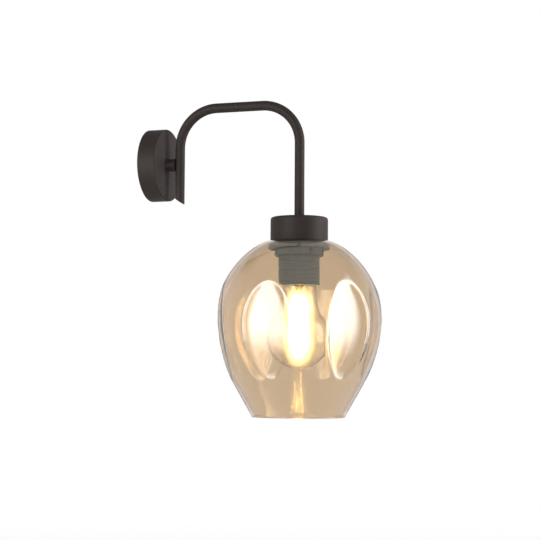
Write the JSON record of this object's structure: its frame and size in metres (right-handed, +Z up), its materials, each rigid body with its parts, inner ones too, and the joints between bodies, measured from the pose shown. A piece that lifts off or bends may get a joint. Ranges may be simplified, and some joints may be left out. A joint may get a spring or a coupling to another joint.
{
  "type": "wall lamp",
  "caption": "Wall lamp with a round wall plate, a bent tube arm, a cylindrical cup, an open clear amber glass shade with pressed dimples and a screw-in bulb.",
  "frame": {"origin": "centre of the wall plate's back, on the wall", "axes": "+Y into the wall, +Z up; the lamp stands out along -Y and its arm and shade axis lie in the plane x = 0"},
  "size_m": [0.1532, 0.2333, 0.3048],
  "materials": {
    "black_paint": "matte powder coat",
    "zinc_steel": "zinc plated",
    "brass": "plain",
    "nickel": "nickel plated",
    "white_nylon": "moulded",
    "grey_plastic": "moulded",
    "porcelain": "glazed",
    "brown_wire": "insulation",
    "blue_wire": "insulation",
    "earth_wire": "insulation",
    "amber_glass": "clear, champagne tint",
    "clear_glass": "clear",
    "black_glass": "glassy",
    "light_stick": "phosphor coat, lit",
    "circuit_board": "laminate"
  },
  "bodies": {
    "lamp": {"wall_bracket": "zinc_steel", "wall_plate": "black_paint", "plate_screws": "black_paint", "terminal_block": "white_nylon", "terminal_tubes": "brass", "terminal_screws": "zinc_steel", "block_screw": "zinc_steel", "earth_screw": "brass", "earth_lead": "earth_wire", "arm_nipple": "brass", "nipple_washer": "zinc_steel", "nipple_nut": "brass", "arm_stub": "black_paint", "arm_tube": "black_paint", "arm_end_bush": "black_paint", "live_wire": "brown_wire", "neutral_wire": "blue_wire", "holder_cup": "black_paint", "cup_washer": "zinc_steel", "lampholder_cap": "grey_plastic", "lampholder_insert": "porcelain", "lampholder_barrel": "grey_plastic", "screw_shell": "brass", "centre_contact": "brass", "side_contact": "brass", "holder_terminals": "brass", "holder_terminal_screws": "zinc_steel"},
    "shade": {"glass_shade": "amber_glass"},
    "ring": {"shade_ring": "grey_plastic"},
    "bulb_tip": {"bulb_contact": "nickel"},
    "bulb": {"bulb_insulator": "black_glass", "bulb_cap": "nickel", "bulb_envelope": "clear_glass", "bulb_stem": "clear_glass", "bulb_filaments": "light_stick", "filament_wires": "nickel", "bulb_driver": "circuit_board"}
  },
  "joints": [
    {"name": "shade_drop", "type": "slide", "parent": "lamp", "child": "shade", "axis": [0, 0, -1], "range_m": [0, 0.0276]},
    {"name": "ring_turn", "type": "hinge", "parent": "shade", "child": "ring", "pos_m": [0, -0.15435, -0.087], "axis": [0, 0, -1], "range_deg": [0, 3975]},
    {"name": "bulb_drop", "type": "slide", "parent": "lamp", "child": "bulb_tip", "axis": [0, 0, -1], "range_m": [0, 0.0219]},
    {"name": "bulb_turn", "type": "hinge", "parent": "bulb_tip", "child": "bulb", "pos_m": [0, -0.15435, -0.15], "axis": [0, 0, -1], "range_deg": [0, 2173]}
  ],
  "couplings": [
    {"joint": "ring_turn", "follows": "shade_drop", "rad_per_m": 2513.3},
    {"joint": "bulb_turn", "follows": "bulb_drop", "rad_per_m": 1731.4}
  ]
}
